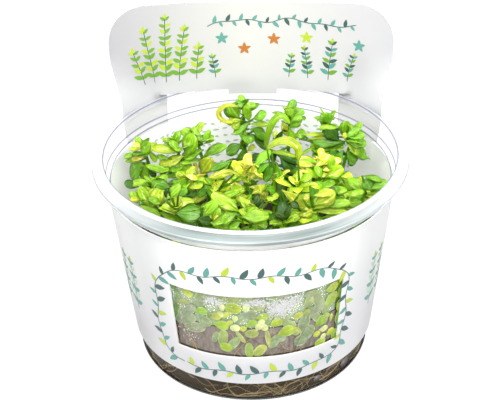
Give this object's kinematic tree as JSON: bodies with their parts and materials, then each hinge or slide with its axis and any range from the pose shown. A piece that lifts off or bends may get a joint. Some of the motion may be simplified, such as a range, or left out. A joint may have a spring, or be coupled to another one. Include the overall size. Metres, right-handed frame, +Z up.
{
  "type": "plant culture cup",
  "caption": "Clear plastic tissue culture cup with a stepped rim, a card sleeve with a window and a raised header, dark agar gel and a carpet of rooted toothcup plantlets.",
  "frame": {"origin": "centre of the cup's flat foot, on its resting plane", "axes": "+Z up along the cup's axis; the card's window faces -Y, the header stands on the +Y side"},
  "size_m": [0.1, 0.1, 0.1048],
  "materials": {
    "clear_plastic": "clear, moulded smooth",
    "white_card": null,
    "agar_gel": "translucent dark gel, wet",
    "leaf": "soft satin leaf green"
  },
  "bodies": {
    "root": {"cup": "clear_plastic", "sleeve_card": "white_card", "gel": "agar_gel", "shoot_01": "leaf", "shoot_02": "leaf", "shoot_03": "leaf", "shoot_04": "leaf", "shoot_05": "leaf", "shoot_06": "leaf", "shoot_07": "leaf", "shoot_08": "leaf", "shoot_09": "leaf", "shoot_10": "leaf", "shoot_11": "leaf", "shoot_12": "leaf", "shoot_13": "leaf", "shoot_14": "leaf", "shoot_15": "leaf", "shoot_16": "leaf", "shoot_17": "leaf", "shoot_18": "leaf", "shoot_19": "leaf", "shoot_20": "leaf", "shoot_21": "leaf", "shoot_22": "leaf", "shoot_23": "leaf", "shoot_24": "leaf", "shoot_25": "leaf", "shoot_26": "leaf"}
  },
  "joints": []
}
